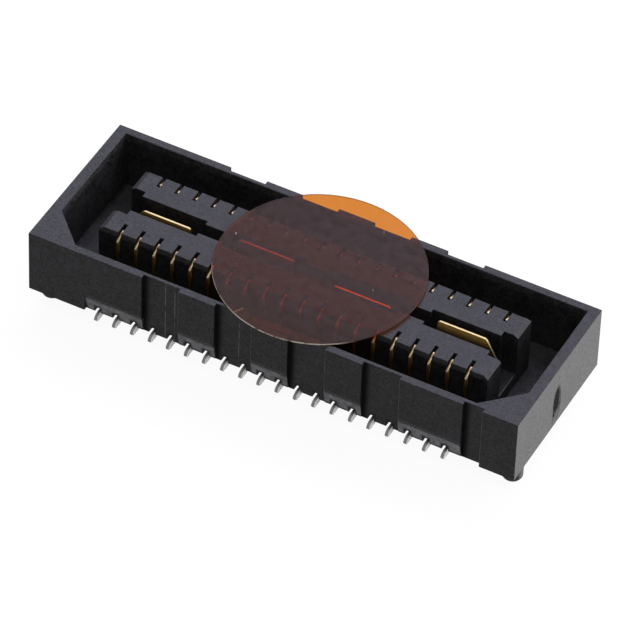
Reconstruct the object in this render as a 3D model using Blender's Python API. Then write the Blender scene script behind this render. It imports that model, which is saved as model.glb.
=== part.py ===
# Board to board connector, built in metres with +Z up.
# The board plane is z = 0, X runs along the rows and -Y is the front.
import math

import bmesh
import bpy
from mathutils import Vector

mm = 0.001

# Rows of contacts
pitch = 0.80 * mm
per_row = 20
row_span = pitch * (per_row - 1)

# Housing
body_width = 7.24 * mm
body_height = 2.94 * mm
standoff = 0.36 * mm
floor_thickness = 0.30 * mm
end_wall = 0.455 * mm
end_gap = 1.70 * mm
side_wall = 0.35 * mm
lead_in_width = 0.06 * mm
lead_in_depth = 0.28 * mm
key_corner = 1.45 * mm

# Recesses in the long outside faces
recess_depth = 0.18 * mm
recess_width = 2 * pitch
recess_step = 4 * pitch
recess_count = 4
end_recess_offset = 0.70 * mm
end_recess_width = 0.82 * mm

# Undercut along the foot of both long faces
undercut_depth = 0.16 * mm
undercut_height = 0.86 * mm
undercut_overrun = 0.53 * mm

# Shallow oval scar on the right end face
scar_y = -0.11 * mm
scar_rise = 1.00 * mm
scar_half_width = 0.39 * mm
scar_half_height = 0.95 * mm
scar_depth = 0.07 * mm

# Ribs that carry the contacts
rib_top_drop = 0.05 * mm
rib_overrun = 0.88 * mm
rib_outer = 1.88 * mm
rib_side_bevel = 0.08 * mm
rib_side_bevel_drop = 0.18 * mm
rib_end_bevel = 0.20 * mm
rib_end_bevel_drop = 0.11 * mm
channel_narrow = 0.28 * mm
channel_wide = 0.46 * mm
channel_mouth = 0.73 * mm
mouth_length = 0.62 * mm
channel_step = 0.59 * mm

# Contacts, stamped on edge from thin sheet
contact_sheet = 0.12 * mm
contact_side_gap = 0.02 * mm
slot_into_rib = 0.63 * mm
slot_past_rib = 0.32 * mm
slot_end_gap = 0.03 * mm
tail_side_gap = 0.08 * mm
tail_relief_height = 0.12 * mm
tail_mouth_height = 0.28 * mm
tail_past_body = 0.06 * mm
tail_run_gap = 0.03 * mm
tail_lift = 0.10 * mm

# Ground plane strip
strip_sheet = 0.15 * mm
strip_side_gap = 0.025 * mm
strip_setback = 0.38 * mm
tab_sheet = 0.09 * mm
tab_top_drop = 0.085 * mm
tab_height = 0.825 * mm
tab_leans = (-0.14 * mm, 0.27 * mm, -0.18 * mm, 0.11 * mm)
tab_flare = 0.55 * mm
tab_corner = 0.09 * mm
tab_end_margin = 0.08 * mm
tab_middle_gap = 1.92 * mm
outer_tab_half = 1.06 * mm
inner_tab_half = 1.245 * mm
bay_margin = 0.41 * mm
foot_width = 0.60 * mm

# Alignment pegs
peg_radius = 0.42 * mm
peg_from_end = 0.505 * mm
peg_from_front = 0.97 * mm
peg_length = 0.84 * mm
peg_round = 0.16 * mm

# Pick and place film
film_radius = 4.20 * mm
film_thickness = 0.06 * mm
film_lift = 0.01 * mm
film_x = 0.16 * mm
film_y = 0.22 * mm

# Room that cutters run past the faces they open
past = 0.5 * mm

for item in list(bpy.data.objects):
    bpy.data.objects.remove(item, do_unlink=True)


def finish_mesh(name, bm):
    bmesh.ops.recalc_face_normals(bm, faces=bm.faces)
    mesh = bpy.data.meshes.new(name)
    bm.to_mesh(mesh)
    bm.free()
    made = bpy.data.objects.new(name, mesh)
    bpy.context.scene.collection.objects.link(made)
    return made


def add_loft(bm, rings):
    rows = [[bm.verts.new(p) for p in ring] for ring in rings]
    count = len(rows[0])
    for low, high in zip(rows, rows[1:]):
        for i in range(count):
            j = (i + 1) % count
            bm.faces.new((low[i], low[j], high[j], high[i]))
    bm.faces.new(list(reversed(rows[0])))
    bm.faces.new(rows[-1])


def add_box(bm, low, high):
    (x0, y0, z0), (x1, y1, z1) = low, high
    base = [(x0, y0), (x1, y0), (x1, y1), (x0, y1)]
    add_loft(bm, [[(x, y, z) for x, y in base] for z in (z0, z1)])


def prism_z(name, outline, z0, z1):
    bm = bmesh.new()
    add_loft(bm, [[(x, y, z) for x, y in outline] for z in (z0, z1)])
    return finish_mesh(name, bm)


def prism_x(name, profile, x0, x1):
    bm = bmesh.new()
    add_loft(bm, [[(x, y, z) for y, z in profile] for x in (x0, x1)])
    return finish_mesh(name, bm)


def prism_y(name, profile, y0, y1):
    bm = bmesh.new()
    add_loft(bm, [[(x, y, z) for x, z in profile] for y in (y0, y1)])
    return finish_mesh(name, bm)


def boolean(target, tool, operation):
    tool.hide_render = True
    tool.display_type = "WIRE"
    step = target.modifiers.new(operation.lower(), "BOOLEAN")
    step.object = tool
    step.operation = operation
    step.solver = "EXACT"
    graph = bpy.context.evaluated_depsgraph_get()
    mesh = bpy.data.meshes.new_from_object(target.evaluated_get(graph))
    target.modifiers.clear()
    old = target.data
    target.data = mesh
    mesh.name = target.name
    bpy.data.meshes.remove(old)
    bpy.data.objects.remove(tool, do_unlink=True)


def tidy(target):
    bm = bmesh.new()
    bm.from_mesh(target.data)
    bmesh.ops.remove_doubles(bm, verts=bm.verts, dist=0.001 * mm)
    bmesh.ops.dissolve_limit(
        bm, angle_limit=math.radians(0.05), verts=bm.verts, edges=bm.edges
    )
    bmesh.ops.triangulate(bm, faces=bm.faces)
    bmesh.ops.recalc_face_normals(bm, faces=bm.faces)
    bm.to_mesh(target.data)
    bm.free()


def material(name, colour, metallic, roughness, alpha=1.0):
    made = bpy.data.materials.new(name)
    made.use_nodes = True
    shader = made.node_tree.nodes["Principled BSDF"]
    shader.inputs["Base Color"].default_value = (*colour, 1.0)
    shader.inputs["Metallic"].default_value = metallic
    shader.inputs["Roughness"].default_value = roughness
    shader.inputs["Alpha"].default_value = alpha
    made.diffuse_color = (*colour, alpha)
    return made


moulding = material("black_moulding", (0.020, 0.020, 0.022), 0.0, 0.5)
plating = material("contact_plating", (0.83, 0.62, 0.27), 1.0, 0.25)
ground_plating = material("ground_plating", (0.80, 0.60, 0.28), 1.0, 0.3)
amber = material("amber_film", (0.72, 0.24, 0.02), 0.0, 0.2, 0.6)

rib_half_length = row_span / 2 + rib_overrun
half_x = rib_half_length + end_gap + end_wall
half_y = body_width / 2
floor_z = standoff + floor_thickness
rim_z = standoff + body_height
rib_top = rim_z - rib_top_drop
channel_floor = floor_z + channel_step
slot_inner = rib_outer - slot_into_rib
slot_outer = rib_outer + slot_past_rib
relief_top = standoff + tail_relief_height
mouth_top = standoff + tail_mouth_height
tail_reach = half_y + tail_past_body
strip_half_length = rib_half_length - strip_setback
tab_top = rib_top - tab_top_drop
strip_top = tab_top - tab_height
inner_tab_centre = tab_middle_gap / 2 + inner_tab_half
outer_tab_centre = strip_half_length - tab_end_margin - tab_flare - outer_tab_half
contact_x = [-row_span / 2 + pitch * i for i in range(per_row)]
recess_starts = [
    recess_step * (i - recess_count / 2) + (recess_step - recess_width) / 2
    for i in range(recess_count)
]


# Outline of the body, with the recesses left out of it
def side_recesses(side):
    spans = [(a, a + recess_width) for a in recess_starts]
    if side < 0:
        start = row_span / 2 + end_recess_offset
        spans.append((start, start + end_recess_width))
    return spans


outline = [(-half_x, -half_y)]
for a, b in side_recesses(-1):
    outline += [
        (a, -half_y),
        (a, -half_y + recess_depth),
        (b, -half_y + recess_depth),
        (b, -half_y),
    ]
outline += [(half_x, -half_y), (half_x, half_y)]
for a, b in reversed(side_recesses(1)):
    outline += [
        (b, half_y),
        (b, half_y - recess_depth),
        (a, half_y - recess_depth),
        (a, half_y),
    ]
outline.append((-half_x, half_y))
housing = prism_z("housing", outline, standoff, rim_z)


# Undercut pads along both sides; the front one runs into the end recess
def undercut(side):
    slope = undercut_depth / undercut_height
    low = standoff - past
    inner = half_y - undercut_depth - slope * past
    high = standoff + undercut_height + past
    outer = half_y + past * slope
    profile = [
        (side * inner, low),
        (side * (outer + past), low),
        (side * (outer + past), high),
        (side * outer, high),
    ]
    reach = row_span / 2 + undercut_overrun
    right = reach
    if side < 0:
        right = row_span / 2 + end_recess_offset + end_recess_width / 2
    return prism_x("undercut", profile, -reach, right)


for side in (-1, 1):
    boolean(housing, undercut(side), "DIFFERENCE")

bm = bmesh.new()
scar_rings = [(-past, 1.0), (0.0, 1.0), (0.5, 0.84), (0.85, 0.55), (1.0, 0.2)]
add_loft(
    bm,
    [
        [
            (
                half_x - (deep if deep < 0 else deep * scar_depth),
                scar_y + share * scar_half_width * math.cos(2 * math.pi * k / 24),
                standoff
                + scar_rise
                + share * scar_half_height * math.sin(2 * math.pi * k / 24),
            )
            for k in range(24)
        ]
        for deep, share in scar_rings
    ],
)
boolean(housing, finish_mesh("scar", bm), "DIFFERENCE")


# Cavity, with a lead-in round its mouth and two slanted corners at the front
def cavity_ring(grow, z):
    x = half_x - end_wall + grow
    y = half_y - side_wall + grow
    cut = key_corner + grow * (2 - math.sqrt(2))
    return [
        (-x + cut, -y, z),
        (x - cut, -y, z),
        (x, -y + cut, z),
        (x, y, z),
        (-x, y, z),
        (-x, -y + cut, z),
    ]


bm = bmesh.new()
add_loft(
    bm,
    [
        cavity_ring(-lead_in_width, floor_z),
        cavity_ring(-lead_in_width, rim_z - lead_in_depth),
        cavity_ring(0.0, rim_z),
        cavity_ring(lead_in_width, rim_z + lead_in_depth),
    ],
)
boolean(housing, finish_mesh("cavity", bm), "DIFFERENCE")


# Two ribs, mirror images, with a stepped channel between them
def inner_edge():
    spans = []
    for centre, half in (
        (inner_tab_centre, inner_tab_half),
        (outer_tab_centre, outer_tab_half),
    ):
        spans.append((centre - half - bay_margin, centre + half + bay_margin))
    mouth = rib_half_length - mouth_length
    (a, b), (c, d) = spans
    right = [
        (a, channel_narrow),
        (a, channel_wide),
        (b, channel_wide),
        (b, channel_narrow),
        (c, channel_narrow),
        (c, channel_wide),
        (min(d, mouth), channel_wide),
        (min(d, mouth), channel_mouth),
        (rib_half_length, channel_mouth),
    ]
    left = [(-x, y) for x, y in reversed(right)]
    return left + right


def rib(side):
    points = inner_edge() + [
        (rib_half_length, rib_outer),
        (-rib_half_length, rib_outer),
    ]
    made = prism_z(
        "rib", [(x, side * y) for x, y in points], (standoff + floor_z) / 2, rib_top
    )
    rise = rib_side_bevel_drop / rib_side_bevel
    edge = [
        (side * (rib_outer + past), rib_top - rib_side_bevel_drop - past * rise),
        (side * (rib_outer + past), rib_top + past * rise),
        (side * (rib_outer - rib_side_bevel - past), rib_top + past * rise),
    ]
    boolean(made, prism_x("bevel", edge, -half_x, half_x), "DIFFERENCE")
    rise = rib_end_bevel_drop / rib_end_bevel
    for end in (-1, 1):
        edge = [
            (end * (rib_half_length + past), rib_top - rib_end_bevel_drop - past * rise),
            (end * (rib_half_length + past), rib_top + past * rise),
            (end * (rib_half_length - rib_end_bevel - past), rib_top + past * rise),
        ]
        boolean(made, prism_y("bevel", edge, -half_y, half_y), "DIFFERENCE")
    return made


for side in (-1, 1):
    boolean(housing, rib(side), "UNION")

# Low block that joins the ribs and is the floor of the channel
bm = bmesh.new()
join_y = (channel_mouth + rib_outer) / 2
add_box(
    bm,
    (-rib_half_length, -join_y, (standoff + floor_z) / 2),
    (rib_half_length, join_y, channel_floor),
)
boolean(housing, finish_mesh("channel", bm), "UNION")

# Slots for the contacts, then the reliefs their tails leave through
slot_half = contact_sheet / 2 + contact_side_gap
relief_half = contact_sheet / 2 + tail_side_gap
bm = bmesh.new()
for x in contact_x:
    add_box(
        bm,
        (x - slot_half, -slot_outer, standoff - past),
        (x + slot_half, -slot_inner, rim_z + past),
    )
    add_box(
        bm,
        (x - slot_half, slot_inner, standoff - past),
        (x + slot_half, slot_outer, rim_z + past),
    )
boolean(housing, finish_mesh("slots", bm), "DIFFERENCE")
relief_inner = slot_outer - 0.1 * mm
relief_outer = half_y + past
wall_foot = half_y - side_wall
relief = [
    (relief_inner, standoff - past),
    (relief_outer, standoff - past),
    (relief_outer, mouth_top),
    (wall_foot, mouth_top),
    (wall_foot, relief_top),
    (relief_inner, relief_top),
]
bm = bmesh.new()
for x in contact_x:
    for side in (-1, 1):
        ends = (x - relief_half, x + relief_half)
        add_loft(bm, [[(end, side * w, z) for w, z in relief] for end in ends])
boolean(housing, finish_mesh("reliefs", bm), "DIFFERENCE")

# Slit in the floor for the ground plane strip
slit = strip_sheet / 2 + strip_side_gap
slit_x = strip_half_length + strip_side_gap
bm = bmesh.new()
add_box(bm, (-slit_x, -slit, standoff - past), (slit_x, slit, channel_floor + past))
boolean(housing, finish_mesh("slit", bm), "DIFFERENCE")


# Alignment pegs under the front corners
def peg(x, y):
    top = (standoff + floor_z) / 2
    low = standoff - peg_length
    rings = [(peg_radius, top)]
    for i in range(5):
        turn = math.radians(90 * i / 4)
        rings.append(
            (
                peg_radius - peg_round * (1 - math.cos(turn)),
                low + peg_round * (1 - math.sin(turn)),
            )
        )
    bm = bmesh.new()
    sides = 32
    ordered = list(reversed(rings))
    add_loft(
        bm,
        [
            [
                (
                    x + r * math.cos(2 * math.pi * k / sides),
                    y + r * math.sin(2 * math.pi * k / sides),
                    z,
                )
                for k in range(sides)
            ]
            for r, z in ordered
        ],
    )
    return finish_mesh("peg", bm)


for side in (-1, 1):
    x = side * (half_x - peg_from_end)
    boolean(housing, peg(x, peg_from_front - half_y), "UNION")
tidy(housing)
housing.data.materials.clear()
housing.data.materials.append(moulding)

# Contact profile, outward distance from the middle and height
base_inner = slot_inner + slot_end_gap
base_outer = slot_outer - slot_end_gap
base_top = floor_z - 0.02 * mm
run_low = tail_lift
run_top = standoff - tail_run_gap

# Beam from its root up, as offset into the slot, drop from the rib top and width
beam = [
    (0.39, 2.15, 0.24),
    (0.47, 1.70, 0.22),
    (0.57, 1.25, 0.20),
    (0.64, 0.95, 0.19),
    (0.655, 0.70, 0.19),
    (0.645, 0.50, 0.18),
    (0.60, 0.36, 0.16),
    (0.45, 0.26, 0.14),
    (0.25, 0.175, 0.12),
]
root_offset = 0.35 * mm
root_width = 0.30 * mm
root_height = 0.12 * mm


def beam_points():
    points = [(slot_inner + root_offset, floor_z + root_height, root_width)]
    for offset, drop, width in beam:
        points.append((slot_inner + offset * mm, rib_top - drop * mm, width * mm))
    return points


def beam_sides(points):
    outer, inner = [], []
    for i, (w, z, width) in enumerate(points):
        before = points[max(i - 1, 0)]
        after = points[min(i + 1, len(points) - 1)]
        along = Vector((after[0] - before[0], after[1] - before[1])).normalized()
        across = Vector((along.y, -along.x))
        outer.append((w + across.x * width / 2, z + across.y * width / 2))
        inner.append((w - across.x * width / 2, z - across.y * width / 2))
    return outer, inner


points = beam_points()
outer_side, inner_side = beam_sides(points)
w, z, width = points[-1]
tip = [
    (w - width * 0.36, z + width * 0.33),
    (w - width * 0.5, z),
    (w - width * 0.36, z - width * 0.33),
]
toe = tail_reach
profile = outer_side + tip + list(reversed(inner_side))
profile += [
    (base_inner, base_top),
    (base_inner, standoff - 0.10 * mm),
    (base_inner + 0.08 * mm, (standoff + run_low) / 2 + 0.03 * mm),
    (base_inner + 0.20 * mm, run_low),
    (toe - 0.72 * mm, run_low),
    (toe - 0.60 * mm, run_low * 0.4),
    (toe - 0.50 * mm, 0.0),
    (toe - 0.15 * mm, 0.0),
    (toe - 0.06 * mm, 0.02 * mm),
    (toe - 0.01 * mm, 0.07 * mm),
    (toe, run_top - 0.21 * mm),
    (toe - 0.02 * mm, run_top - 0.15 * mm),
    (toe - 0.07 * mm, run_top - 0.09 * mm),
    (toe - 0.15 * mm, run_top - 0.04 * mm),
    (toe - 0.25 * mm, run_top - 0.01 * mm),
    (toe - 0.40 * mm, run_top),
    (base_outer + 0.08 * mm, run_top),
    (base_outer, standoff + 0.06 * mm),
    (base_outer, base_top),
]

for row, side in (("front", -1), ("rear", 1)):
    for i, x in enumerate(contact_x):
        made = prism_x(
            f"contact_{row}_{i + 1:02d}",
            [(side * w, z) for w, z in profile],
            x - contact_sheet / 2,
            x + contact_sheet / 2,
        )
        tidy(made)
        made.data.materials.append(plating)

# Ground plane: an upright strip with feet and four leaning tabs
foot_x = [-outer_tab_centre, -inner_tab_centre, inner_tab_centre, outer_tab_centre]
lines = [(-strip_half_length, standoff), (-strip_half_length, strip_top)]
lines += [(strip_half_length, strip_top), (strip_half_length, standoff)]
for x in reversed(foot_x):
    lines += [
        (x + foot_width / 2, standoff),
        (x + foot_width / 2, 0.0),
        (x - foot_width / 2, 0.0),
        (x - foot_width / 2, standoff),
    ]
strip = prism_y("ground_plane", lines, -strip_sheet / 2, strip_sheet / 2)


def tab(centre, half, lean, flare_left, flare_right):
    low = strip_top - 0.12 * mm
    foot = strip_top - 0.02 * mm
    corner = tab_corner
    right = [
        (half + flare_right, low),
        (half + flare_right, foot),
        (half + min(flare_right, corner * 0.5), tab_top - corner),
        (half - corner * 0.3, tab_top - corner * 0.25),
        (half - corner, tab_top),
    ]
    left = [
        (-half - flare_left, low),
        (-half - flare_left, foot),
        (-half - min(flare_left, corner * 0.5), tab_top - corner),
        (-half + corner * 0.3, tab_top - corner * 0.25),
        (-half + corner, tab_top),
    ]
    points = [(centre + x, z) for x, z in right + left[::-1]]
    made = prism_y("tab", points, -tab_sheet / 2, tab_sheet / 2)
    for vertex in made.data.vertices:
        rise = vertex.co.z - foot
        if rise > 0:
            vertex.co.y += lean * rise / (tab_top - foot)
    return made


tabs = (
    (-outer_tab_centre, outer_tab_half, tab_flare, 0.0),
    (-inner_tab_centre, inner_tab_half, 0.0, 0.0),
    (inner_tab_centre, inner_tab_half, 0.0, 0.0),
    (outer_tab_centre, outer_tab_half, 0.0, tab_flare),
)
for (centre, half, left, right), lean in zip(tabs, tab_leans):
    boolean(strip, tab(centre, half, lean, left, right), "UNION")
tidy(strip)
strip.data.materials.clear()
strip.data.materials.append(ground_plating)

# Film lying on the rim
bm = bmesh.new()
sides = 96
add_loft(
    bm,
    [
        [
            (
                film_x + film_radius * math.cos(2 * math.pi * k / sides),
                film_y + film_radius * math.sin(2 * math.pi * k / sides),
                z,
            )
            for k in range(sides)
        ]
        for z in (rim_z + film_lift, rim_z + film_lift + film_thickness)
    ],
)
film = finish_mesh("pick_place_film", bm)
film.data.materials.append(amber)
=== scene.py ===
import math

import bmesh
import bpy
from mathutils import Matrix, Vector


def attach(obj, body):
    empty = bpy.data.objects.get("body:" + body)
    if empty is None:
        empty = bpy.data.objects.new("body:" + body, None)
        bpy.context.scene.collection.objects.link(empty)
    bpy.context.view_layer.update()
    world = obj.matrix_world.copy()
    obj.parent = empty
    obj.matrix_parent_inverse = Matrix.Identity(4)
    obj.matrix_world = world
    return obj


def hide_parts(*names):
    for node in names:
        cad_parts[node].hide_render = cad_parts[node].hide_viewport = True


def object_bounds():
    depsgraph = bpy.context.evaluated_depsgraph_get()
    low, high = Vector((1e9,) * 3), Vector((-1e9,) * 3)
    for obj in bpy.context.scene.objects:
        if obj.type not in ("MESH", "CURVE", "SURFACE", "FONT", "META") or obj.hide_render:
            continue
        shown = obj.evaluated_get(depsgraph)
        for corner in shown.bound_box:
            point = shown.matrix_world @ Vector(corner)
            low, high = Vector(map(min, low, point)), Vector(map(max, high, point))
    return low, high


mm = 0.001
touch = 0.001 * mm  # differences below this count as none
pitch = 0.80 * mm  # from one contact to the next
ribTop = 3.25 * mm

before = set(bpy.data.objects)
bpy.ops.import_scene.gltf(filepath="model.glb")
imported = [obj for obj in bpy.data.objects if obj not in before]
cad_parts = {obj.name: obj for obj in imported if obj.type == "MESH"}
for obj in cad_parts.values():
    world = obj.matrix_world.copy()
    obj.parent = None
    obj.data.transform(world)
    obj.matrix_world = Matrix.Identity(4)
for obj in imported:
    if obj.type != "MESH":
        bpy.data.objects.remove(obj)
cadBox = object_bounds()
lowest = cadBox[0].z
print("frame loaded:", len(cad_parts), "nodes")

scene = bpy.context.scene
scene.view_settings.view_transform = "Standard"


# Camera, set where the photograph was taken from

camera = {
    "azimuth": 26.4006,
    "elevation": 44.2353,
    "roll": 2.3351,
    "sideways": 0.3298 * mm,
    "upwards": 0.4476 * mm,
    "distance": 221.91 * mm,
    "lift": 0.05 * mm,
    "lens": 319.95,
    "sensor": 36.0,
    "nearest": 0.01,
    "farthest": 20.0,
}


def placeCamera(s):
    a, e, r = (math.radians(s[k]) for k in ("azimuth", "elevation", "roll"))
    back = Vector((math.sin(a) * math.cos(e), -math.cos(a) * math.cos(e), math.sin(e)))
    level = Vector((math.cos(a), math.sin(a), 0))
    upright = back.cross(level)
    right = level * math.cos(r) + upright * math.sin(r)
    up = upright * math.cos(r) - level * math.sin(r)
    spot = right * s["sideways"] + up * s["upwards"] + back * s["distance"]
    spot.z += s["lift"]
    data = bpy.data.cameras.new("camera")
    data.lens = s["lens"]
    data.sensor_width = s["sensor"]
    data.clip_start = s["nearest"]
    data.clip_end = s["farthest"]
    made = bpy.data.objects.new("camera", data)
    made.matrix_world = Matrix((right, up, back)).transposed().to_4x4()
    made.location = spot
    scene.collection.objects.link(made)
    scene.camera = made


placeCamera(camera)


# Soft lights. Strength is the brightness of the lamp's face, where 1 is paper white

lamps = [
    {
        "name": "rearSoftbox",
        "toward": (-0.20, 0.66, 0.72),
        "distance": 0.36,
        "size": (0.38, 0.22),
        "strength": 5.0,
        "colour": (0.90, 0.91, 1.20),
    },
    {
        "name": "rightPanel",
        "toward": (0.72, 0.48, 0.50),
        "distance": 0.40,
        "size": (0.30, 0.20),
        "strength": 5.0,
        "colour": (1.0, 1.0, 1.0),
    },
    {
        "name": "endPanel",  # low beside the right end, it lights the upright face there
        "toward": (0.80, 0.58, 0.07),
        "distance": 0.40,
        "size": (0.34, 0.05),
        "strength": 20.0,
        "colour": (1.0, 0.99, 0.97),
    },
    {
        "name": "topFill",
        "toward": (0.25, -0.30, 0.92),
        "distance": 0.45,
        "size": (0.30, 0.30),
        "strength": 2.6,
        "colour": (1.0, 0.99, 0.98),
    },
]


def placeLamp(s):
    toward = Vector(s["toward"]).normalized()
    data = bpy.data.lights.new(s["name"], "AREA")
    data.shape = "RECTANGLE"
    data.size, data.size_y = s["size"]
    data.energy = s["strength"] * math.pi * data.size * data.size_y
    data.color = s["colour"]
    made = bpy.data.objects.new(s["name"], data)
    made.location = toward * s["distance"]
    made.rotation_euler = toward.to_track_quat("Z", "Y").to_euler()
    made.visible_camera = False
    scene.collection.objects.link(made)


for lamp in lamps:
    placeLamp(lamp)


# Node trees: a Wire is the end of one socket, and sums on wires add Math nodes


class Wire:
    def __init__(self, tree, socket=None):
        self.tree = tree
        self.socket = socket

    def make(self, kind, settings=(), sockets=(), output=0):
        node = self.tree.nodes.new(kind)
        for name, value in dict(settings).items():
            setattr(node, name, value)
        for name, value in dict(sockets).items():
            entry = node.inputs[name]
            if isinstance(value, Wire):
                self.tree.links.new(value.socket, entry)
            elif entry.type == "RGBA":
                entry.default_value = (*value, 1.0)
            else:
                entry.default_value = value
        return Wire(self.tree, node.outputs[output] if node.outputs else None)

    def sum(self, operation, *values):
        return self.make(
            "ShaderNodeMath", {"operation": operation}, dict(enumerate(values))
        )

    def __add__(self, other):
        return self.sum("ADD", self, other)

    def __radd__(self, other):
        return self.sum("ADD", other, self)

    def __sub__(self, other):
        return self.sum("SUBTRACT", self, other)

    def __rsub__(self, other):
        return self.sum("SUBTRACT", other, self)

    def __mul__(self, other):
        return self.sum("MULTIPLY", self, other)

    def __rmul__(self, other):
        return self.sum("MULTIPLY", other, self)

    def most(self, other):
        return self.sum("MAXIMUM", self, other)

    def least(self, other):
        return self.sum("MINIMUM", self, other)

    def size(self):
        return self.sum("ABSOLUTE", self)

    def root(self):
        return self.sum("SQRT", self)

    def remainder(self, step):
        return self.sum("FLOORED_MODULO", self, step)

    def rise(self, low, high):  # from 0 at low to 1 at high
        return self.make(
            "ShaderNodeMapRange",
            {"interpolation_type": "SMOOTHSTEP"},
            {"Value": self, "From Min": low, "From Max": high},
        )

    def fall(self, low, high):  # from 1 at low to 0 at high
        return 1 - self.rise(low, high)

    def band(self, low, high, soft):  # 1 from low to high
        return self.rise(low - soft, low + soft) * self.fall(high - soft, high + soft)


def startMaterial(name):
    made = bpy.data.materials.new(name)
    made.use_nodes = True
    made.node_tree.nodes.clear()
    return made, Wire(made.node_tree)


def finishMaterial(tree, shader):
    tree.make("ShaderNodeOutputMaterial", {}, {"Surface": shader})


def mixShaders(tree, share, first, second):
    return tree.make("ShaderNodeMixShader", {}, {0: share, 1: first, 2: second})


def blend(tree, share, first, second):
    return tree.make(
        "ShaderNodeMix",
        {"data_type": "RGBA"},
        {0: share, 6: first, 7: second},
        output=2,
    )


def axes(tree, point):
    node = tree.make("ShaderNodeSeparateXYZ", {}, {0: point}).socket.node
    return [Wire(tree.tree, node.outputs[i]) for i in range(3)]


def place(tree):
    return tree.make("ShaderNodeTexCoord", output=3)


def facing(tree):
    return axes(tree, tree.make("ShaderNodeTexCoord", output=1))


def stretch(tree, point, scale):
    return tree.make("ShaderNodeMapping", {}, {"Vector": point, "Scale": scale})


def speckle(tree, point, perMm, detail, rough):
    return tree.make(
        "ShaderNodeTexNoise",
        {},
        {"Vector": point, "Scale": perMm / mm, "Detail": detail, "Roughness": rough},
    )


def bumps(tree, height, distance):
    return tree.make(
        "ShaderNodeBump", {}, {"Height": height, "Distance": distance, "Strength": 1.0}
    )


def away(x, y, middle):
    dx, dy = x - middle[0], y - middle[1]
    return (dx * dx + dy * dy).root()


# World and floor: white to the eye and in reflections, plainer as light


def rays(tree, *kinds):
    path = tree.make("ShaderNodeLightPath").socket.node
    found = [Wire(tree.tree, path.outputs[f"Is {kind} Ray"]) for kind in kinds]
    total = found[0]
    for wire in found[1:]:
        total = total.most(wire)
    return total


studio = {"light": (0.34, 0.345, 0.355), "white": (1.0, 1.0, 1.0)}


def makeWorld(s):
    world = bpy.data.worlds.new("studio")
    world.use_nodes = True
    world.node_tree.nodes.clear()
    tree = Wire(world.node_tree)
    plain = tree.make("ShaderNodeBackground", {}, {"Color": s["light"]})
    white = tree.make("ShaderNodeBackground", {}, {"Color": s["white"]})
    share = rays(tree, "Camera", "Glossy", "Transmission")
    shader = mixShaders(tree, share, plain, white)
    tree.make("ShaderNodeOutputWorld", {}, {"Surface": shader})
    scene.world = world


floor = {
    "colour": (0.92, 0.92, 0.92),
    "white": (1.0, 1.0, 1.0),
    "whiteShare": 0.94,  # the rest keeps the shadow
    "size": 6.0,
}


def makeFloor(s):
    bm = bmesh.new()
    bmesh.ops.create_grid(bm, x_segments=1, y_segments=1, size=s["size"] / 2)
    bmesh.ops.translate(bm, verts=bm.verts, vec=(0, 0, lowest))
    mesh = bpy.data.meshes.new("floor")
    bm.to_mesh(mesh)
    bm.free()
    made = bpy.data.objects.new("floor", mesh)
    scene.collection.objects.link(made)
    paint, tree = startMaterial("paleFloor")
    matt = tree.make("ShaderNodeBsdfDiffuse", {}, {"Color": s["colour"]})
    white = tree.make("ShaderNodeEmission", {}, {"Color": s["white"]})
    share = rays(tree, "Camera", "Glossy", "Transmission") * s["whiteShare"]
    finishMaterial(tree, mixShaders(tree, share, matt, white))
    mesh.materials.append(paint)


makeWorld(studio)
makeFloor(floor)
print("camera, lights and floor set")


# Amber film: coloured light passes through, and its face shines a little
# Noises are given as spots to the mm, detail and roughness, here and further down

film = {
    "centre": (0.16 * mm, 0.22 * mm),
    "radius": 4.20 * mm,
    "shadeEdge": (-0.3 * mm, 0.1 * mm),  # from the radius, where the shade and tint painted on pieces below fade out
    "throughColour": (0.98, 0.550, 0.060),
    "faceColour": (0.084, 0.080, 0.094),
    "faceDark": (0.036, 0.036, 0.042),
    "faceShare": 0.20,
    "roughness": 0.34,
    "roughSpread": 0.2,
    "specular": 0.165,
    "soft": (0.45, 2.0, 0.5),
    "wave": 0.006 * mm,
    "mottle": (3.0, 4.0, 0.6),
    "mottled": (0.30, 0.80),
    "dust": (7.0, 2.0, 0.5),
    "dusty": (0.72, 0.80),
    "dustShare": 0.12,
    "rim": (-0.022 * mm, -0.012 * mm),  # from the radius
    "rimShare": 0.30,
    "rimColour": (0.030, 0.022, 0.020),
    # painted highlight on the rim's lower-left arc, broken up by noise
    "rimGlintColour": (0.42, 0.38, 0.32),
    "rimGlint": (2.6, 4.0, 0.8),
    "rimGlintFrom": (0.36, 0.52),
    "rimGlintShare": 0.3,
    "rimGlintBelow": (-1.7 * mm, -1.4 * mm),
    "rimGlintLeftOf": (2.6 * mm, 3.3 * mm),
    "markColour": (0.42, 0.40, 0.38),
    "marks": (  # x, y and radius of each speck of dust
        (-3.61 * mm, 0.33 * mm, 0.035 * mm),
        (2.50 * mm, 0.15 * mm, 0.022 * mm),
        (1.36 * mm, 3.24 * mm, 0.022 * mm),
    ),
    "markSoft": 0.6,
    "fibreColour": (0.22, 0.15, 0.05),
    "fibre": ((-1.58 * mm, -3.56 * mm), (-1.37 * mm, -3.21 * mm), 0.017 * mm),  # ends, width
    "fibreSoft": 0.5,
    "dirtShare": 0.5,
    "edgeRound": 0.018 * mm,
    "edgeSteps": 3,
    "sharpFrom": 60.0,
    "smoothBelow": 40.0,
}


# where pieces lie under the film: the shade and tint painted on them follow this
def underFilm(x, y, s):
    low, high = (s["radius"] + step for step in s["shadeEdge"])
    return away(x, y, s["centre"]).fall(low, high)


def dustMarks(x, y, s):
    found = 0.0
    for mx, my, size in s["marks"]:
        found = away(x, y, (mx, my)).fall(size * s["markSoft"], size) + found
    return found


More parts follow.
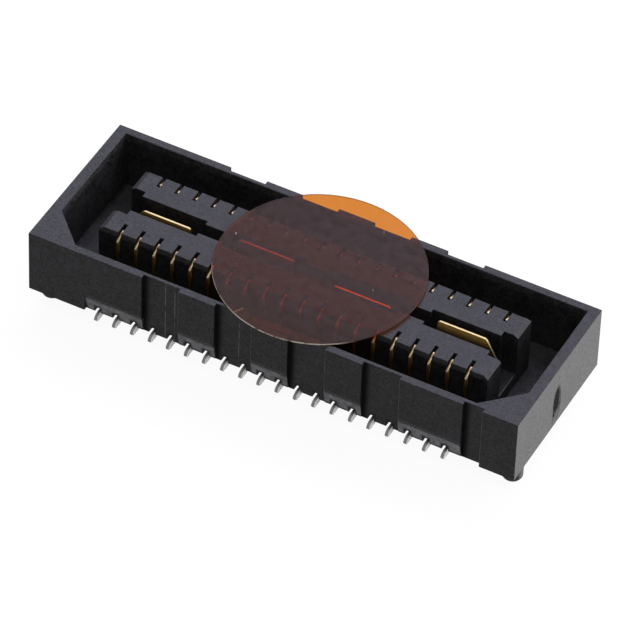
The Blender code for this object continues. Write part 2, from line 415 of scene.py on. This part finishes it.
def fibreOnFilm(x, y, s):
    start, end, width = s["fibre"]
    length = math.hypot(end[0] - start[0], end[1] - start[1])
    ux, uy = (end[0] - start[0]) / length, (end[1] - start[1]) / length
    dx, dy = x - start[0], y - start[1]
    along = dx * ux + dy * uy
    beside = (dx * uy - dy * ux).size()
    return beside.fall(width * s["fibreSoft"], width) * along.band(0.0, length, width)


def makeFilm(s):
    paint, tree = startMaterial("amberFilm")
    point = place(tree)
    x, y = axes(tree, point)[:2]
    low, high = (s["radius"] + step for step in s["rim"])
    rim = away(x, y, s["centre"]).rise(low, high)
    soft = speckle(tree, point, *s["soft"])
    mottle = speckle(tree, point, *s["mottle"])
    dust = speckle(tree, point, *s["dust"]).rise(*s["dusty"])
    # painted highlight on the lower-left rim
    rimGlint = speckle(tree, point, *s["rimGlint"]).rise(*s["rimGlintFrom"])
    rimGlint = y.fall(*s["rimGlintBelow"]) * x.fall(*s["rimGlintLeftOf"]) * rimGlint
    marks = dustMarks(x, y, s)
    fibre = fibreOnFilm(x, y, s)
    face = blend(tree, mottle.rise(*s["mottled"]), s["faceColour"], s["faceDark"])
    edge = blend(tree, rimGlint, s["rimColour"], s["rimGlintColour"])
    colour = blend(tree, rim, face, edge)
    colour = blend(tree, marks.least(1.0), colour, s["markColour"])
    colour = blend(tree, fibre, colour, s["fibreColour"])
    sheet = tree.make(
        "ShaderNodeBsdfPrincipled",
        {},
        {
            "Base Color": colour,
            "Roughness": s["roughness"] + (mottle - 0.5) * s["roughSpread"],
            "Specular IOR Level": s["specular"],
            "Normal": bumps(tree, soft, s["wave"]),
        },
    )
    clear = tree.make("ShaderNodeBsdfTransparent", {}, {"Color": s["throughColour"]})
    share = s["faceShare"] + rim * (s["rimShare"] + rimGlint * s["rimGlintShare"])
    share = share + dust * s["dustShare"] + (marks + fibre) * s["dirtShare"]
    finishMaterial(tree, mixShaders(tree, share.least(1.0), clear, sheet))
    return paint


# Black moulding: flecked and matt, with painted light on its end faces, a painted reflection on
# its undercuts and painted shade in places
# A pair of values is where a tone starts and where it is full, and soft is its blur

moulding = {
    "colour": (0.0028, 0.0026, 0.0030),
    "paler": (0.0235, 0.0220, 0.0245),
    # dark matt shader that painted shade and the dark flecks mix towards
    "dull": (0.0050, 0.0048, 0.0050),
    "lit": (0.086, 0.081, 0.084),
    "roughness": 0.44,
    "roughFlecks": 0.50,
    "roughClouds": 0.12,
    "specular": 0.5,
    "ior": 1.27,
    "grain": 0.032 * mm,
    "grainFlecks": 0.8,
    "grainClouds": 0.4,
    "grainLines": 0.2,
    "cloud": (1.1, 3.0, 0.5),
    "cloudTone": (0.30, 0.72),
    "cloudShare": 0.22,
    "coarse": (3.2, 2.0, 0.5),
    "coarseTone": (0.38, 0.64),
    "coarseShare": 0.22,
    "fleck": (7.0, 4.0, 0.75),
    "fleckTone": (0.36, 0.64),
    "fleckShare": 0.56,
    "grit": (11.0, 2.0, 0.5),
    "gritFrom": (0.50, 0.62),
    "gritDull": 0.24,
    "outside": (3.41 * mm, 3.43 * mm),  # from the middle to the long outside faces
    # painted shade on the long outside faces
    "longFaces": (0.80, 0.95),
    "longShade": 0.22,
    # painted shade on the moulding under the film
    "filmShade": 0.5,
    "filmShadeAbove": (1.0 * mm, 1.2 * mm),
}

recesses = {
    "floor": (3.42 * mm, 3.46 * mm),
    "floorSoft": 0.005 * mm,
    "start": 5.60 * mm,  # the first one begins this far left of the middle
    "step": 3.20 * mm,
    "width": pitch * 2,
    "within": (5.60 * mm, 5.62 * mm),
    "last": (8.30 * mm, 9.12 * mm),  # the fifth one, at the right end of the front
    "lastSoft": 0.02 * mm,
    "shadeReach": (0.06 * mm, 0.38 * mm),
    "shadeDull": 0.70,
    "drawn": (2.0, 4.0, 0.7),
    "drawnStretch": (9.0, 9.0, 0.35),
    "drawnFrom": (0.60, 0.74),
    "drawnShare": 0.6,
    "drawnTone": 0.7,
    "streaks": (-4.64 * mm, -4.23 * mm, -1.40 * mm),
    "streakWidth": 0.025 * mm,
    "streakSoft": 0.012 * mm,
    "streakColour": (0.16, 0.15, 0.15),
    "streakFront": (-3.0 * mm, -2.9 * mm),
    "streakDrawn": (0.30, 0.60),
    "streakCoarse": (0.30, 0.55),
}

pads = {
    "soft": 0.04 * mm,
    "outer": (5.55 * mm, 5.62 * mm),  # past the recesses, pads go on to the ends
    "undercut": (0.44 * mm, 1.02 * mm),  # its heights, where a painted reflection of the pale floor lies
    "undercutSoft": 0.10 * mm,
    "undercutLeft": (-8.20 * mm, -8.00 * mm),
    "undercutRight": (8.25 * mm, 8.28 * mm),
    "undercutReflection": (0.125, 0.118, 0.122),
    "undercutTone": (0.35, 0.65),
    "undercutShare": 0.50,
    # painted highlight along the left edge of each pad
    "edge": 0.035 * mm,
    "edgeSoft": 0.01 * mm,
    "edgeWithin": (5.70 * mm, 5.72 * mm),
    "edgeBeyond": (3.50 * mm, 3.55 * mm),
    "edgeShare": 0.25,
    "edgeCoarse": 0.4,
    "sides": (0.7, 0.9),  # those that face right, which get painted shade
    "sidesBeyond": (3.42 * mm, 3.44 * mm),
    "sidesBefore": (10.06 * mm, 10.16 * mm),
    "sidesShade": 0.6,
}

tailGaps = {  # bands over the tails, where painted shade stands for the dark tails reflected in the front
    "sides": (0.105 * mm, 0.225 * mm),
    "below": (0.64 * mm, 0.82 * mm),
    "within": (7.75 * mm, 7.85 * mm),
    "shadeAbove": (0.36 * mm, 0.40 * mm),
    "dull": 0.45,
}

ribs = {
    # painted light on the chamfers at the rib ends
    "chamfer": 0.24 * mm,
    "chamferSoft": 0.01 * mm,
    "chamferLean": (0.45, 0.90, 0.05),  # how far the face turns to the right, and blur
    "chamferShare": 0.15,
    "glintAlong": (8.44 * mm, 8.475 * mm, 0.006 * mm),  # a painted highlight, a pale line on the channel's end
    "glintAcross": (-0.74 * mm, 0.55 * mm, 0.05 * mm),
    "glintHeight": (1.21 * mm, 1.27 * mm, 0.01 * mm),
    "glintFlecks": (0.3, 0.5),
    # painted light, paler low in the cavity
    "cavityColour": (0.030, 0.029, 0.032),
    "cavityWithin": (9.95 * mm, 10.0 * mm),
    "cavityBelow": (1.10 * mm, 2.40 * mm),
    "cavityShare": 0.45,
}

endFaces = {
    # painted light: the end faces are made paler, as the light falls on them
    "colour": (0.099, 0.096, 0.095),
    "facing": (0.8, 0.95),
    "beyond": (10.3 * mm, 10.4 * mm),
    "share": 0.6,
    "flecks": 0.4,
    "scar": (-0.03 * mm, 1.46 * mm),  # middle of the gate's mark, across and up
    "scarSize": (0.30 * mm, 1.08 * mm),
    "scarBend": 0.34 * mm,
    "scarBendOver": (0.35 * mm, 1.15 * mm),
    "scarRagged": 0.35 * mm,
    "scarEdge": (0.30, 1.0),
    "scarBeyond": (10.46 * mm, 10.48 * mm),
    "scarBroken": (0.46, 0.54),
    "scarDull": 0.75,
    "scarFlecks": (0.35, 0.65),
}


def drawnStreaks(x, y, drawn, coarse, s):
    found = 0.0
    for start in s["streaks"]:
        found = x.band(start, start + s["streakWidth"], s["streakSoft"]) + found
    ragged = drawn.rise(*s["streakDrawn"]) * coarse.rise(*s["streakCoarse"])
    return found * y.fall(*s["streakFront"]) * ragged


def recessShade(x, along, s):
    near = along.fall(*s["shadeReach"]) * x.size().fall(*s["within"])
    fromLast = x - s["last"][0]
    nearLast = fromLast.fall(*s["shadeReach"]) * fromLast.rise(-s["lastSoft"], 0.0)
    return (near + nearLast) * s["shadeDull"]


def tailGapMask(x, z, s):
    beside = (x.remainder(pitch) - pitch / 2).size()
    return beside.fall(*s["sides"]) * z.fall(*s["below"]) * x.size().fall(*s["within"])


def padUndercuts(x, z, along, s):
    width = recesses["width"]
    inner = along.rise(width - s["soft"], width + s["soft"])
    onPad = inner.most(x.size().rise(*s["outer"]))
    ends = x.fall(*s["undercutRight"]) * x.rise(*s["undercutLeft"])
    return z.band(*s["undercut"], s["undercutSoft"]) * onPad * ends


def padEdgeHighlights(x, y, along, coarse, s):
    width, last = recesses["width"], recesses["last"][1]
    inner = along.band(width, width + s["edge"], s["edgeSoft"])
    inner = inner * x.size().fall(*s["edgeWithin"])
    found = inner + x.band(last, last + s["edge"], s["edgeSoft"])
    return found * y.size().rise(*s["edgeBeyond"]) * (s["edgeShare"] + coarse * s["edgeCoarse"])


# painted shade on the pads' faces that face right
def padSideShade(turned, x, y, s):
    found = turned.rise(*s["sides"]) * y.size().rise(*s["sidesBeyond"])
    return found * x.fall(*s["sidesBefore"]) * s["sidesShade"]


def ribChamfers(turned, z, s):
    return turned.band(*s["chamferLean"]) * z.band(
        ribTop - s["chamfer"], ribTop, s["chamferSoft"]
    )


# painted highlight along the channel's end edge, broken by flecks
def channelGlint(x, y, z, fleck, s):
    return x.band(*s["glintAlong"]) * y.band(*s["glintAcross"]) * (
        z.band(*s["glintHeight"]) * fleck.rise(*s["glintFlecks"])
    )


# the gate's mark, made dark and dull: a real mark, with painted shade in its hollow
def gateScar(x, y, z, fleck, s):
    upper = z.rise(*s["scarBendOver"])
    lower = 1 - upper
    bent = y - s["scar"][0] + lower * s["scarBend"] + (fleck - 0.5) * s["scarRagged"]
    across = bent * (1 / s["scarSize"][0])
    up = (z - s["scar"][1]) * (1 / s["scarSize"][1])
    oval = (across * across + up * up).fall(*s["scarEdge"])
    broken = (upper + lower * fleck.rise(*s["scarBroken"])).least(1.0)
    depth = s["scarDull"] + fleck.rise(*s["scarFlecks"]) * (1 - s["scarDull"])
    return oval * x.rise(*s["scarBeyond"]) * broken * depth


def makeMoulding(s):
    paint, tree = startMaterial("blackMoulding")
    point = place(tree)
    x, y, z = axes(tree, point)
    turned, frontward = facing(tree)[:2]
    cloud = speckle(tree, point, *s["cloud"])
    coarse = speckle(tree, point, *s["coarse"])
    fleck = speckle(tree, point, *s["fleck"])
    grit = speckle(tree, point, *s["grit"]).rise(*s["gritFrom"])
    drawnPoint = stretch(tree, point, recesses["drawnStretch"])
    drawn = speckle(tree, drawnPoint, *recesses["drawn"])

    outside = y.size().rise(*s["outside"])
    inside = 1 - outside
    along = (x + recesses["start"]).remainder(recesses["step"])
    recess = y.size().band(*recesses["floor"], recesses["floorSoft"])
    lines = drawn.rise(*recesses["drawnFrom"]) * recesses["drawnShare"] * recess
    streaks = drawnStreaks(x, y, drawn, coarse, recesses) * recess
    tailGap = tailGapMask(x, z, tailGaps)
    undercut = padUndercuts(x, z, along, pads) * outside * (1 - tailGap)
    # painted light low in the cavity
    cavity = inside * x.size().fall(*ribs["cavityWithin"]) * z.fall(*ribs["cavityBelow"])
    # painted light on the end faces
    ends = turned.size().rise(*endFaces["facing"]) * x.size().rise(*endFaces["beyond"])

    tone = (
        cloud.rise(*s["cloudTone"]) * s["cloudShare"]
        + coarse.rise(*s["coarseTone"]) * s["coarseShare"]
        + fleck.rise(*s["fleckTone"]) * s["fleckShare"]
        + lines * recesses["drawnTone"]
    )
    colour = blend(tree, tone.least(1.0), s["colour"], s["paler"])
    colour = blend(tree, streaks.least(1.0), colour, recesses["streakColour"])
    colour = blend(tree, cavity * ribs["cavityShare"], colour, ribs["cavityColour"])
    share = ends * (endFaces["share"] + fleck * endFaces["flecks"])
    colour = blend(tree, share, colour, endFaces["colour"])
    # painted light on the rib chamfers
    chamfer = ribChamfers(turned, z, ribs) * inside * ribs["chamferShare"]
    # painted highlight on the channel's end edge
    channelEdgeGlint = channelGlint(x, y, z, fleck, ribs)
    colour = blend(tree, chamfer + channelEdgeGlint, colour, s["lit"])
    # painted reflection of the pale floor on the undercuts, broken into patches
    blotchy = coarse.rise(*pads["undercutTone"]) * (1 - pads["undercutShare"])
    share = undercut * (pads["undercutShare"] + blotchy)
    colour = blend(tree, share, colour, pads["undercutReflection"])
    # painted highlight on the pads' left edges
    edges = padEdgeHighlights(x, y, along, coarse, pads)
    colour = blend(tree, edges.least(1.0), colour, s["lit"])

    # painted shade under the film
    covered = underFilm(x, y, film) * z.rise(*s["filmShadeAbove"]) * inside
    # painted shade and dark flecks: how far each spot turns to the dark matt shader
    shadeAndFlecks = (recessShade(x, along, recesses) * recess).most(padSideShade(turned, x, y, pads))
    shadeAndFlecks = shadeAndFlecks.most(grit * s["gritDull"]).most(covered * s["filmShade"])
    # painted shade over the tails
    shadeAndFlecks = shadeAndFlecks.most(tailGap * outside * z.rise(*tailGaps["shadeAbove"]) * tailGaps["dull"])
    shadeAndFlecks = shadeAndFlecks.most(gateScar(x, y, z, fleck, endFaces))
    # painted shade on the long outside faces
    longFaces = frontward.size().rise(*s["longFaces"]) * outside * (1 - undercut)
    shadeAndFlecks = (shadeAndFlecks + longFaces * s["longShade"]).least(1.0)

    rough = s["roughness"] + (fleck - 0.5) * s["roughFlecks"]
    rough = rough + (cloud - 0.5) * s["roughClouds"]
    height = fleck * s["grainFlecks"] + cloud * s["grainClouds"] + lines * s["grainLines"]
    satin = tree.make(
        "ShaderNodeBsdfPrincipled",
        {},
        {
            "Base Color": colour,
            "Roughness": rough,
            "Specular IOR Level": s["specular"],
            "IOR": s["ior"],
            "Normal": bumps(tree, height, s["grain"]),
        },
    )
    dull = tree.make("ShaderNodeBsdfDiffuse", {}, {"Color": s["dull"]})
    finishMaterial(tree, mixShaders(tree, shadeAndFlecks, satin, dull))
    return paint


# Contacts: gold where they mate, tin on the soldered tails, with painted highlights, glints and
# shade

plating = {
    # the gold sides, with painted shade lower down in the slots
    "side": (0.58, 0.36, 0.09),
    "sideShaded": (0.12, 0.075, 0.025),
    "sideHeights": (2.20 * mm, 2.80 * mm),
    "sideFaces": (0.88, 0.97),
    # painted shade on the sheared edges of the gold
    "shearedShade": (0.20, 0.11, 0.030),
    # painted highlight along each contact's edge, dimmed and red under the film
    "line": (0.38, 0.33, 0.22),
    "coveredLine": (0.22, 0.055, 0.12),
    "coveredRear": (0.0, 0.1 * mm),
    "coveredLoss": 0.8,
    # painted glint colour, at the elbow and on the rear tips
    "bright": (0.98, 0.88, 0.66),
    "goldRoughness": 0.30,
    "shearedRoughness": 0.50,
    "roughSpread": 0.16,
    "elbow": 2.86 * mm,
    "lineAcross": (0.0, 0.036 * mm, 0.008 * mm),
    "lineStart": 0.04 * mm,
    "lineFades": (3.0 * mm, 3.08 * mm),
    "lineLoss": 0.55,
    "lowAcross": (-0.030 * mm, 0.030 * mm, 0.01 * mm),  # below the elbow
    "lowFrom": 2.20 * mm,
    "lowShare": 0.50,
    "spotAcross": (-0.045 * mm, -0.005 * mm, 0.01 * mm),  # from its middle, and blur
    "spotHeights": (-0.02 * mm, 0.04 * mm, 0.02 * mm),  # from the elbow
    "spotWithin": (2.0 * mm, 2.1 * mm),
    "tipHeights": (3.02 * mm, 3.04 * mm),
    "tipWithin": (1.49 * mm, 1.51 * mm),
    "tipRear": (0.0, 0.01 * mm),
    "tipShare": 0.55,
    # the tails: faces turned to the right painted lit, the rest painted shaded
    "tin": (0.99, 0.99, 0.97),
    "tinDull": (0.92, 0.92, 0.89),
    "tinShaded": (0.20, 0.20, 0.19),
    "tinLitFaces": (0.35, 0.75),
    "tinClouds": (0.35, 0.75),
    "tinRoughness": 0.34,
    "tinToGold": (0.55 * mm, 0.80 * mm),
    "fine": (14.0, 3.0, 0.5),
    "cloud": (2.5, 3.0, 0.5),
    "grain": 0.002 * mm,
}


# painted highlight line: above the elbow, and fainter below it
def contactHighlight(fromMiddle, z, s):
    upper = z.rise(s["elbow"] - s["lineStart"], s["elbow"])
    upper = fromMiddle.band(*s["lineAcross"]) * upper
    upper = upper * (1 - z.rise(*s["lineFades"]) * s["lineLoss"])
    lower = z.rise(s["lowFrom"], s["elbow"]) * s["lowShare"]
    return upper.most(lower * fromMiddle.band(*s["lowAcross"]))


def contactGlint(fromMiddle, y, z, s):
    low, high, soft = s["spotHeights"]
    spot = z.band(s["elbow"] + low, s["elbow"] + high, soft)
    spot = spot * fromMiddle.band(*s["spotAcross"]) * y.size().fall(*s["spotWithin"])
    rearTip = z.rise(*s["tipHeights"]) * y.fall(*s["tipWithin"]) * y.rise(*s["tipRear"])
    return spot.most(rearTip * s["tipShare"])


def makePlating(s):
    paint, tree = startMaterial("contactPlating")
    point = place(tree)
    x, y, z = axes(tree, point)
    turned = facing(tree)[0]
    fine = speckle(tree, point, *s["fine"])
    cloud = speckle(tree, point, *s["cloud"])
    high = z.rise(*s["tinToGold"])
    flat = turned.size().rise(*s["sideFaces"])
    edge = 1 - flat
    covered = underFilm(x, y, film)
    fromMiddle = x.remainder(pitch) - pitch / 2
    # painted highlight line, dimmer on the rear row under the film
    line = contactHighlight(fromMiddle, z, s) * edge
    line = line * (1 - covered * y.rise(*s["coveredRear"]) * s["coveredLoss"])
    glint = contactGlint(fromMiddle, y, z, s) * edge * (1 - covered)

    # painted shade lower down on the gold sides
    side = blend(tree, z.rise(*s["sideHeights"]), s["sideShaded"], s["side"])
    # painted shade on the sheared edges
    gold = blend(tree, flat, s["shearedShade"], side)
    highlightColour = blend(tree, covered, s["line"], s["coveredLine"])
    gold = blend(tree, line, gold, highlightColour)
    # painted glints
    gold = blend(tree, glint, gold, s["bright"])
    sheet = blend(tree, cloud.rise(*s["tinClouds"]), s["tin"], s["tinDull"])
    # painted light on tail faces turned right, painted shade on the rest
    tin = blend(tree, turned.rise(*s["tinLitFaces"]), s["tinShaded"], sheet)

    smoother = s["goldRoughness"] - s["shearedRoughness"]
    goldRough = s["shearedRoughness"] + line.most(glint) * smoother
    rough = s["tinRoughness"] * (1 - high) + high * goldRough
    shader = tree.make(
        "ShaderNodeBsdfPrincipled",
        {},
        {
            "Base Color": blend(tree, high, tin, gold),
            "Metallic": high,
            "Roughness": rough + (fine - 0.5) * s["roughSpread"],
            "Normal": bumps(tree, fine, s["grain"]),
        },
    )
    finishMaterial(tree, shader)
    return paint


# Ground strip: gold tabs with sheared edges, painted lighter at the top and shaded lower down,
# and painted red and shaded where the film lies over them

groundGold = {
    # painted light at the top edges, painted shade lower down and under the film, painted red
    # tint under the film, darker to the left
    "edge": (0.25, 0.20, 0.10),
    "edgeLow": (0.13, 0.10, 0.06),
    "face": (0.52, 0.31, 0.065),
    "deep": (0.050, 0.030, 0.010),
    "coveredLeft": (0.150, 0.055, 0.070),
    "coveredRight": (0.270, 0.125, 0.120),
    "coveredTurn": (0.0, 0.4 * mm),
    "coveredFace": 0.8,
    "faces": (0.35, 0.60),
    "faceMetal": 0.50,
    "faceShare": 0.60,
    "heights": (2.74 * mm, 3.14 * mm),
    "roughness": 0.34,
    "roughDrawn": 0.20,
    "roughFine": 0.10,
    "drawn": (3.0, 4.0, 0.6),
    "drawnStretch": (1.0, 8.0, 8.0),
    "drawnFrom": (0.35, 0.70),
    "fine": (16.0, 2.0, 0.5),
    "fineHeight": 0.5,
    "grain": 0.002 * mm,
}


def makeGroundGold(s):
    paint, tree = startMaterial("groundGold")
    point = place(tree)
    x, y, z = axes(tree, point)
    flat = facing(tree)[1].size().rise(*s["faces"])
    drawn = speckle(tree, stretch(tree, point, s["drawnStretch"]), *s["drawn"])
    fine = speckle(tree, point, *s["fine"])
    high = z.rise(*s["heights"])
    covered = underFilm(x, y, film)

    # painted light at the top of the faces, painted shade lower down and under the film
    share = s["faceShare"] + drawn.rise(*s["drawnFrom"]) * (1 - s["faceShare"])
    face = blend(tree, high * share, s["deep"], s["face"])
    face = blend(tree, covered * s["coveredFace"], face, s["deep"])
    red = blend(tree, x.rise(*s["coveredTurn"]), s["coveredLeft"], s["coveredRight"])
    edge = blend(tree, high, s["edgeLow"], s["edge"])
    edge = blend(tree, covered, edge, red)

    rough = s["roughness"] + (drawn - 0.5) * s["roughDrawn"]
    rough = rough + (fine - 0.5) * s["roughFine"]
    shader = tree.make(
        "ShaderNodeBsdfPrincipled",
        {},
        {
            "Base Color": blend(tree, flat, edge, face),
            "Metallic": 1 - flat * (1 - s["faceMetal"]),
            "Roughness": rough,
            "Normal": bumps(tree, drawn + fine * s["fineHeight"], s["grain"]),
        },
    )
    finishMaterial(tree, shader)
    return paint


# Pieces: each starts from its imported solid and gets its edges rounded
# Angles are in degrees

shaping = {"mergeWithin": 0.0005 * mm, "flatWithin": 0.6}


def copyNodes(names):
    bm = bmesh.new()
    for name in names:
        bm.from_mesh(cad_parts[name].data)
    bmesh.ops.remove_doubles(bm, verts=bm.verts, dist=shaping["mergeWithin"])
    limit = math.radians(shaping["flatWithin"])
    bmesh.ops.dissolve_limit(bm, angle_limit=limit, verts=bm.verts, edges=bm.edges)
    return bm


def sharpEdges(bm, degrees):
    limit = math.radians(degrees)
    return [e for e in bm.edges if e.is_manifold and e.calc_face_angle(0.0) > limit]


def softenEdges(bm, edges, width, segments):
    if edges:
        bmesh.ops.bevel(
            bm,
            geom=edges,
            offset=width,
            offset_type="OFFSET",
            affect="EDGES",
            segments=segments,
            profile=0.5,
            material=-1,
            clamp_overlap=True,
        )


def smoothFaces(bm, limitOf):
    bmesh.ops.recalc_face_normals(bm, faces=bm.faces)
    for face in bm.faces:
        face.smooth = True
    for edge in bm.edges:
        limit = math.radians(limitOf(edge))
        edge.smooth = edge.is_manifold and edge.calc_face_angle(0.0) <= limit


def finishPiece(name, bm, paint, nodes):
    mesh = bpy.data.meshes.new(name)
    bm.to_mesh(mesh)
    bm.free()
    made = bpy.data.objects.new(name, mesh)
    scene.collection.objects.link(made)
    mesh.materials.append(paint)
    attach(made, "root")
    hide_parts(*nodes)


housing = {
    "edgeRound": 0.030 * mm,
    "ribRound": 0.012 * mm,
    "edgeSteps": 3,
    "ribSteps": 1,
    "sharpFrom": 30.0,
    "uprightsFrom": 3.55 * mm,
    "channelTop": 1.25 * mm,
    "channelEndsFrom": 8.4 * mm,
    "smoothBelow": 6.0,
    "roundSmoothBelow": 38.0,
    "pegsBelow": 0.30 * mm,
    "scarFrom": 10.50 * mm,
    "scarMiddle": -0.11 * mm,
    "scarReach": 0.5 * mm,
}


def makeHousing(s, paint):
    bm = copyNodes(["housing"])
    rimTop = max(v.co.z for v in bm.verts)
    endFace = max(v.co.x for v in bm.verts)

    def onRimOrPad(edge):
        a, b = (v.co for v in edge.verts)
        upright = math.hypot(a.x - b.x, a.y - b.y) < touch
        onRim = min(a.z, b.z) > rimTop - touch
        return onRim or (upright and abs(a.y) > s["uprightsFrom"] and edge.is_convex)

    def onChannelEnd(edge):
        a, b = (v.co for v in edge.verts)
        level = max(abs(a.z - s["channelTop"]), abs(b.z - s["channelTop"])) < touch
        return level and min(abs(a.x), abs(b.x)) > s["channelEndsFrom"]

    def onRib(edge):
        return all(abs(v.co.z - ribTop) < touch for v in edge.verts)

    def smoothLimit(edge):
        a, b = (v.co for v in edge.verts)
        onPeg = max(a.z, b.z) < s["pegsBelow"]
        inScar = min(a.x, b.x) > s["scarFrom"] and max(a.x, b.x) < endFace - touch
        inScar = inScar and abs(a.y - s["scarMiddle"]) < s["scarReach"]
        return s["roundSmoothBelow"] if onPeg or inScar else s["smoothBelow"]

    for chosen, width, steps in (
        (onRimOrPad, s["edgeRound"], s["edgeSteps"]),
        (onChannelEnd, s["edgeRound"], s["edgeSteps"]),
        (onRib, s["ribRound"], s["ribSteps"]),
    ):
        edges = [e for e in sharpEdges(bm, s["sharpFrom"]) if chosen(e)]
        softenEdges(bm, edges, width, steps)
    smoothFaces(bm, smoothLimit)
    finishPiece("housing_body", bm, paint, ["housing"])


contacts = {
    "edgeRound": 0.020 * mm,
    "edgeSteps": 2,
    "sharpFrom": 60.0,
    "smoothBelow": 50.0,
    "tailBelow": 0.40 * mm,
    "tailExtra": 0.014 * mm,
}


def makeContactRow(s, row, paint):
    names = sorted(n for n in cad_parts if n.startswith(f"contact_{row}_"))
    bm = copyNodes(names)
    for v in bm.verts:
        if v.co.z < s["tailBelow"]:
            middle = (math.floor(v.co.x / pitch) + 0.5) * pitch
            v.co.x += math.copysign(s["tailExtra"], v.co.x - middle)
    softenEdges(bm, sharpEdges(bm, s["sharpFrom"]), s["edgeRound"], s["edgeSteps"])
    smoothFaces(bm, lambda edge: s["smoothBelow"])
    finishPiece(f"contacts_{row}", bm, paint, names)


groundStrip = {
    "edgeRound": 0.016 * mm,
    "edgeSteps": 2,
    "sharpFrom": 60.0,
    "smoothBelow": 50.0,
}


def makeGroundStrip(s, paint):
    bm = copyNodes(["ground_plane"])
    softenEdges(bm, sharpEdges(bm, s["sharpFrom"]), s["edgeRound"], s["edgeSteps"])
    smoothFaces(bm, lambda edge: s["smoothBelow"])
    finishPiece("ground_strip", bm, paint, ["ground_plane"])


def makeFilmDisc(s, paint):
    bm = copyNodes(["pick_place_film"])
    softenEdges(bm, sharpEdges(bm, s["sharpFrom"]), s["edgeRound"], s["edgeSteps"])
    smoothFaces(bm, lambda edge: s["smoothBelow"])
    finishPiece("film_disc", bm, paint, ["pick_place_film"])


makeHousing(housing, makeMoulding(moulding))
print("housing made")
contactPaint = makePlating(plating)
for row in ("front", "rear"):
    makeContactRow(contacts, row, contactPaint)
makeGroundStrip(groundStrip, makeGroundGold(groundGold))
print("contacts and ground strip made")
makeFilmDisc(film, makeFilm(film))
print("film made")
